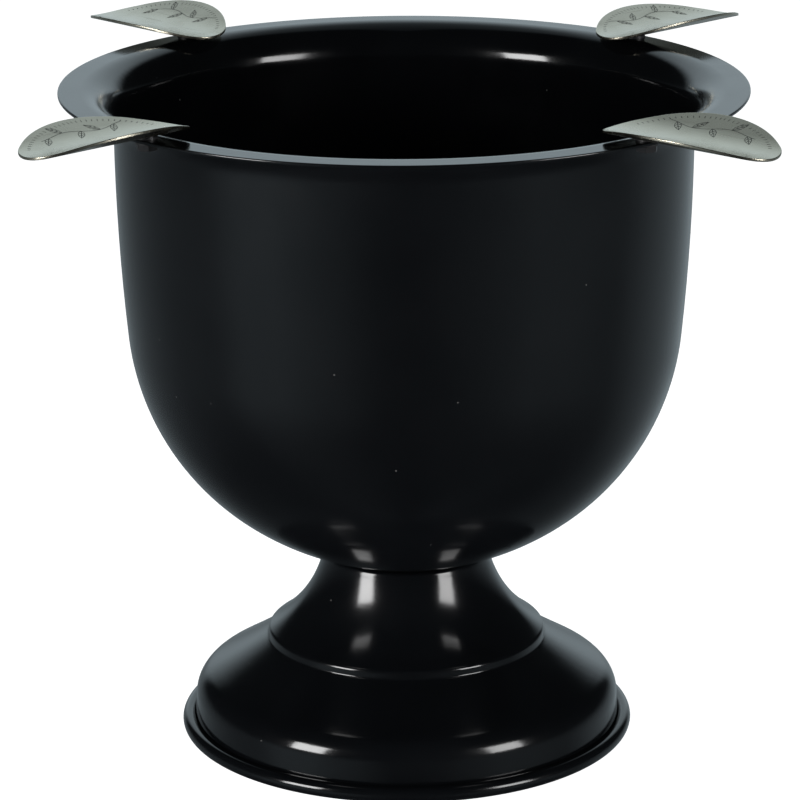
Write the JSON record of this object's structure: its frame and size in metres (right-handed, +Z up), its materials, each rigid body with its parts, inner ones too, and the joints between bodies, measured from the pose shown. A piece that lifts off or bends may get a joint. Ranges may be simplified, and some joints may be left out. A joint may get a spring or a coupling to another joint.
{
  "type": "pedestal cigar ashtray",
  "caption": "Footed table ashtray: deep round bowl with an outturned rim on a flared pedestal, with swivelling oval cigar rests round the rim.",
  "frame": {"origin": "centre of the foot, on the surface that the ashtray stands on", "axes": "+Z up along the axis that the bowl and pedestal are turned about; the front is -Y, and the rests stand at 45 degrees to X and Y"},
  "size_m": [0.2079, 0.206, 0.2068],
  "materials": {
    "black_enamel": "gloss black enamel on spun steel",
    "stainless": "polished stainless sheet with a fine engraved border",
    "zinc_steel": "bright zinc plated fasteners",
    "black_oxide": "black oxide studs and nuts",
    "black_rubber": "matt black rubber",
    "black_nylon": "matt black nylon"
  },
  "bodies": {
    "stand": {"bowl": "black_enamel", "pedestal": "black_enamel", "seat_gasket": "black_rubber", "clamp_stud": "zinc_steel", "clamp_washer": "zinc_steel", "clamp_lock_washer": "zinc_steel", "clamp_nut": "zinc_steel", "upper_swivel_washers": "black_nylon", "lower_swivel_washers": "black_nylon"},
    "rest_back_right": {"cigar_rest_back_right": "stainless", "swivel_stud_back_right": "black_oxide", "swivel_nut_back_right": "black_oxide"},
    "rest_back_left": {"cigar_rest_back_left": "stainless", "swivel_stud_back_left": "black_oxide", "swivel_nut_back_left": "black_oxide"},
    "rest_front_left": {"cigar_rest_front_left": "stainless", "swivel_stud_front_left": "black_oxide", "swivel_nut_front_left": "black_oxide"},
    "rest_front_right": {"cigar_rest_front_right": "stainless", "swivel_stud_front_right": "black_oxide", "swivel_nut_front_right": "black_oxide"}
  },
  "joints": [
    {"name": "swivel_back_right", "type": "hinge", "parent": "stand", "child": "rest_back_right", "pos_m": [0.06944, 0.06944, 0.2], "axis": [0, 0, 1], "continuous": true},
    {"name": "swivel_back_left", "type": "hinge", "parent": "stand", "child": "rest_back_left", "pos_m": [-0.06944, 0.06944, 0.2], "axis": [0, 0, 1], "continuous": true},
    {"name": "swivel_front_left", "type": "hinge", "parent": "stand", "child": "rest_front_left", "pos_m": [-0.06944, -0.06944, 0.2], "axis": [0, 0, 1], "continuous": true},
    {"name": "swivel_front_right", "type": "hinge", "parent": "stand", "child": "rest_front_right", "pos_m": [0.06944, -0.06944, 0.2], "axis": [0, 0, 1], "continuous": true}
  ]
}
